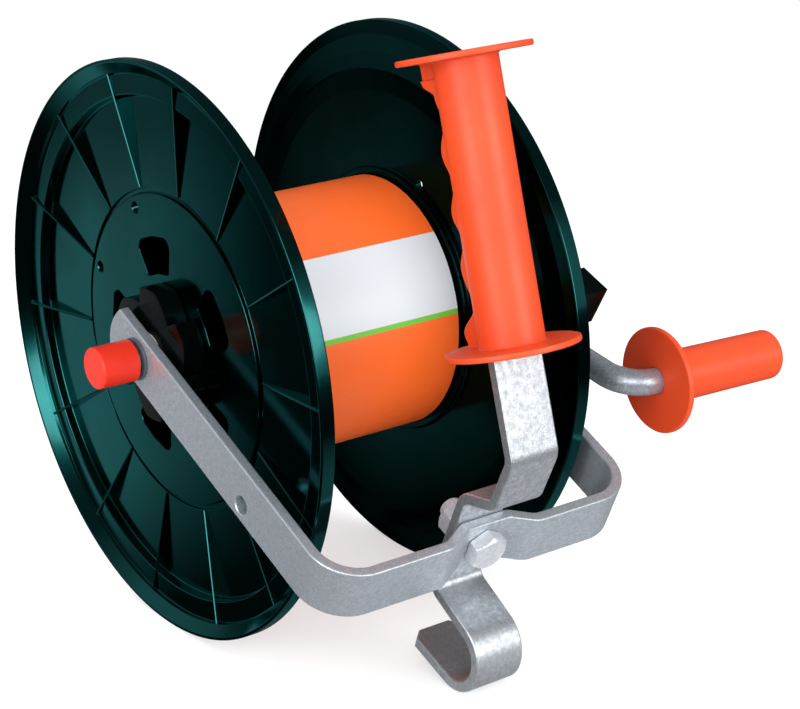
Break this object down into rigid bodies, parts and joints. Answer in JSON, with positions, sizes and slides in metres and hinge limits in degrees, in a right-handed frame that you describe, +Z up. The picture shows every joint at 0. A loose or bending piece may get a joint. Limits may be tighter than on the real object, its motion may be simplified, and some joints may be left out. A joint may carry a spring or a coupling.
{
  "type": "fence wire dereeler",
  "caption": "Hand reel for electric fence wire: ribbed spool in a flat steel frame with upright grip and hook, a bent crank with a turning knob, and a ratchet lever.",
  "frame": {"origin": "middle of the outer box, on the ground under both spool rims and the hook", "axes": "+X along the axle towards the crank, -Y towards the grip, +Z up"},
  "size_m": [0.285, 0.3168, 0.2818],
  "materials": {
    "frame_bar": "dull galvanised, fine sparkle",
    "handle_hook_strap": "dull galvanised, fine sparkle",
    "handle_grip": "moulded, satin",
    "clamp_bolt": "zinc plated",
    "clamp_washer": "zinc plated",
    "clamp_nut": "zinc plated",
    "left_axle_bush": "moulded, satin",
    "right_axle_bush": "moulded, satin",
    "pawl_pivot_pin": "zinc plated",
    "pawl_spring_washer": "zinc plated",
    "pawl_push_nut": "zinc plated",
    "left_flange": "moulded, glossy black-green",
    "right_flange": "moulded, glossy black-green",
    "left_ratchet_hub": "moulded, glossy black-green",
    "right_ratchet_hub": "moulded, glossy black-green",
    "drum_core": "moulded, satin",
    "drum_label": "printed, coated",
    "crank_rod": "dull galvanised, fine sparkle",
    "drive_pin": "zinc plated",
    "axle_end_cap": "moulded, satin",
    "axle_push_nut": "zinc plated",
    "left_thrust_washer": "natural nylon",
    "right_thrust_washer": "natural nylon",
    "crank_knob": "moulded, satin",
    "pawl_lever": "moulded, satin"
  },
  "bodies": {
    "frame": {"frame_bar": "frame_bar", "handle_hook_strap": "handle_hook_strap", "handle_grip": "handle_grip", "clamp_bolt": "clamp_bolt", "clamp_washer": "clamp_washer", "clamp_nut": "clamp_nut", "left_axle_bush": "left_axle_bush", "right_axle_bush": "right_axle_bush", "pawl_pivot_pin": "pawl_pivot_pin", "pawl_spring_washer": "pawl_spring_washer", "pawl_push_nut": "pawl_push_nut"},
    "spool": {"left_flange": "left_flange", "right_flange": "right_flange", "left_ratchet_hub": "left_ratchet_hub", "right_ratchet_hub": "right_ratchet_hub", "drum_core": "drum_core", "drum_label": "drum_label", "crank_rod": "crank_rod", "drive_pin": "drive_pin", "axle_end_cap": "axle_end_cap", "axle_push_nut": "axle_push_nut", "left_thrust_washer": "left_thrust_washer", "right_thrust_washer": "right_thrust_washer"},
    "knob": {"crank_knob": "crank_knob"},
    "pawl": {"pawl_lever": "pawl_lever"}
  },
  "joints": [
    {"name": "spool_spin", "type": "hinge", "parent": "frame", "child": "spool", "pos_m": [-0.0421, 0.02842, 0.13002], "axis": [1, 0, 0], "continuous": true},
    {"name": "knob_spin", "type": "hinge", "parent": "spool", "child": "knob", "pos_m": [0.07497, -0.0922, 0.10832], "axis": [0.998, -0.0618, -0.0111], "continuous": true},
    {"name": "pawl_pivot", "type": "hinge", "parent": "frame", "child": "pawl", "pos_m": [-0.0421, -0.0524, 0.08686], "axis": [1, 0, 0], "range_deg": [-1.8, 12]}
  ]
}
